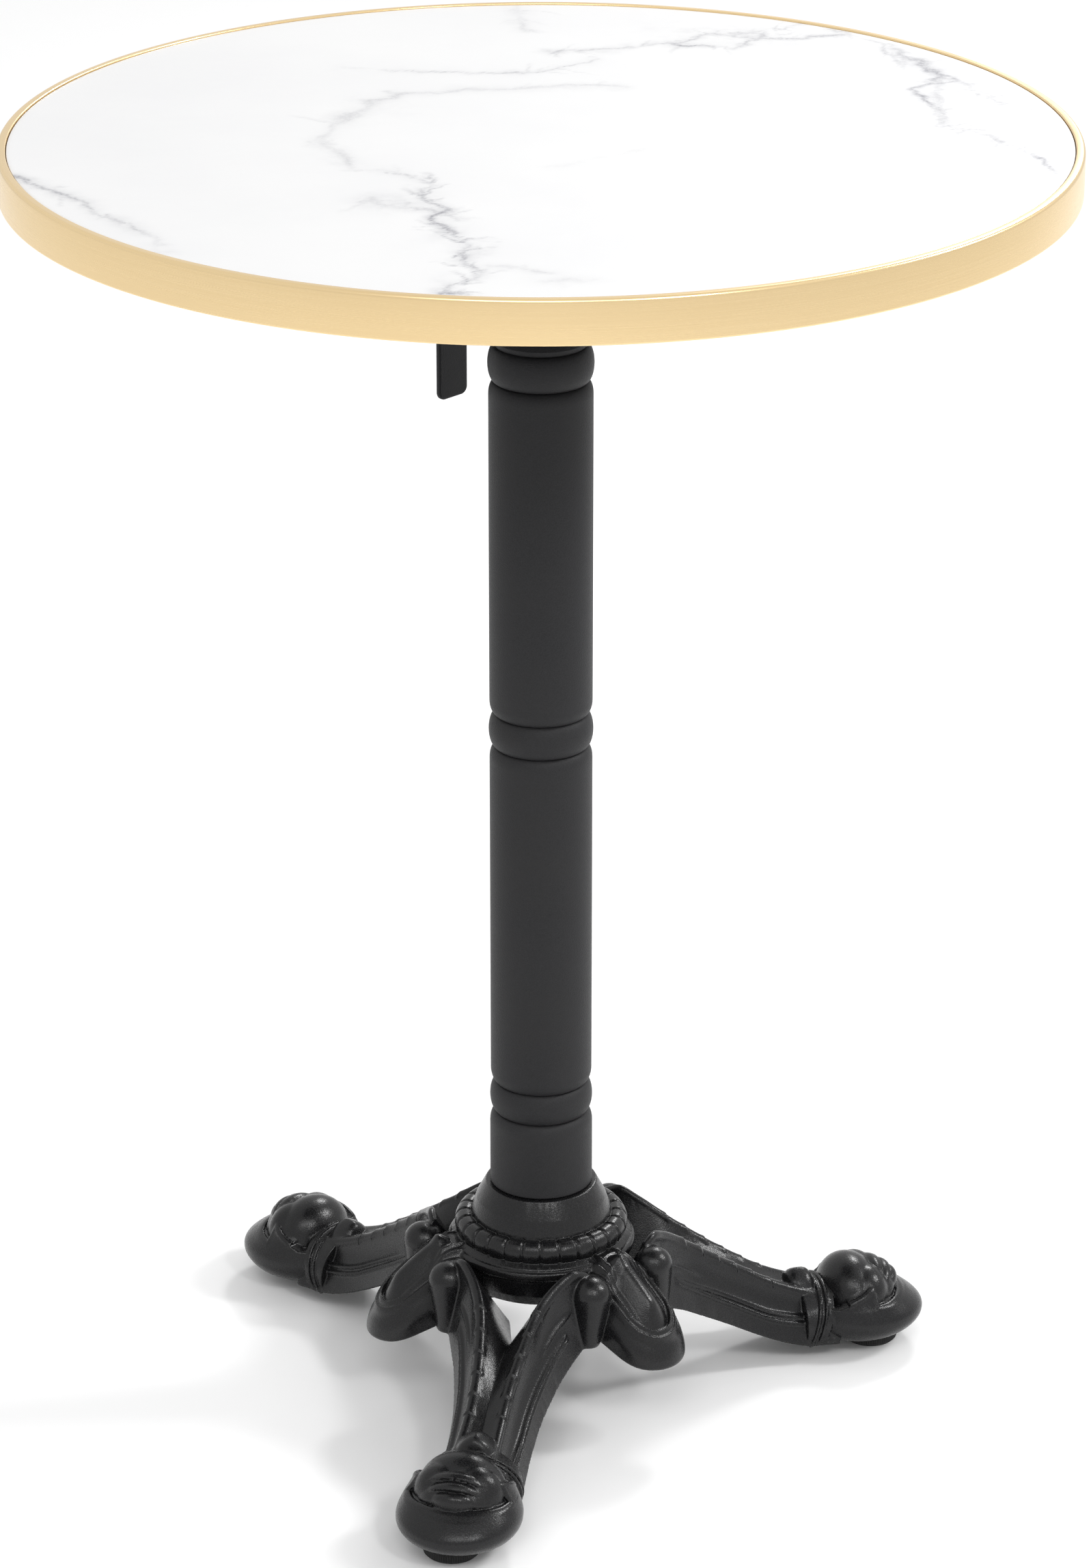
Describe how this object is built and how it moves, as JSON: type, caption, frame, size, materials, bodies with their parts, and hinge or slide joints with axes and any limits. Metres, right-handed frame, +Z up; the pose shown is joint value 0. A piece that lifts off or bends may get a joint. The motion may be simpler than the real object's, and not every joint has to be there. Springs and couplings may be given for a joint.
{
  "type": "tilt-top bistro table",
  "caption": "Round brass-edged marble-look top that tilts on a turned metal column, over a cast-iron base with scrolled legs and levelling glides.",
  "frame": {"origin": "on the floor, under the axis of the column and of the round top", "axes": "+Z up along the column; the front leg points along -Y; the top swings down on the side of azimuth -30 degrees, between the front and the right leg"},
  "size_m": [0.58, 0.58, 0.751],
  "materials": {
    "brass": "satin, lightly brushed round the rim",
    "marble": "white marble-look laminate with grey veins, satin gloss",
    "board": "raw fibreboard",
    "backing": "matt backing laminate",
    "powder_coat": "fine-textured matt black powder coat",
    "cast_iron": "black semi-gloss enamel over fine sand-cast texture",
    "zinc": "bright zinc plate",
    "rubber": "matt moulded black",
    "nylon": "natural nylon"
  },
  "bodies": {
    "stand": {"base_casting": "cast_iron", "column": "powder_coat", "column_head": "powder_coat", "rest_bumper_a": "rubber", "rest_bumper_b": "rubber", "tie_rod": "zinc", "tie_washer_top": "zinc", "tie_nut_top": "zinc", "tie_washer_bottom": "zinc", "tie_nut_bottom": "zinc"},
    "table_top": {"brass_edge_band": "brass", "marble_sheet": "marble", "top_core": "board", "backing_sheet": "backing", "mounting_plate": "powder_coat", "plate_screw_1": "zinc", "plate_screw_2": "zinc", "plate_screw_3": "zinc", "plate_screw_4": "zinc", "hinge_pin": "zinc", "hinge_nut": "zinc", "hinge_washer_a": "nylon", "hinge_washer_b": "nylon", "latch_pin": "zinc", "latch_spring": "zinc"},
    "latch": {"latch_lever": "powder_coat"},
    "glide_front": {"glide_pad_front": "rubber", "glide_stud_front": "zinc"},
    "glide_right": {"glide_pad_right": "rubber", "glide_stud_right": "zinc"},
    "glide_left": {"glide_pad_left": "rubber", "glide_stud_left": "zinc"}
  },
  "joints": [
    {"name": "top_tilt", "type": "hinge", "parent": "stand", "child": "table_top", "pos_m": [0.01732, -0.01, 0.707], "axis": [0.5, 0.866, 0], "range_deg": [0, 90]},
    {"name": "latch_pull", "type": "hinge", "parent": "table_top", "child": "latch", "pos_m": [-0.05456, 0.0315, 0.714], "axis": [0.5, 0.866, 0], "range_deg": [0, 20], "stiffness_Nm_per_rad": 0.4, "springref_deg": -28.65},
    {"name": "glide_front_screw", "type": "slide", "parent": "stand", "child": "glide_front", "axis": [0, 0, -1], "range_m": [0, 0.008]},
    {"name": "glide_right_screw", "type": "slide", "parent": "stand", "child": "glide_right", "axis": [0, 0, -1], "range_m": [0, 0.008]},
    {"name": "glide_left_screw", "type": "slide", "parent": "stand", "child": "glide_left", "axis": [0, 0, -1], "range_m": [0, 0.008]}
  ]
}
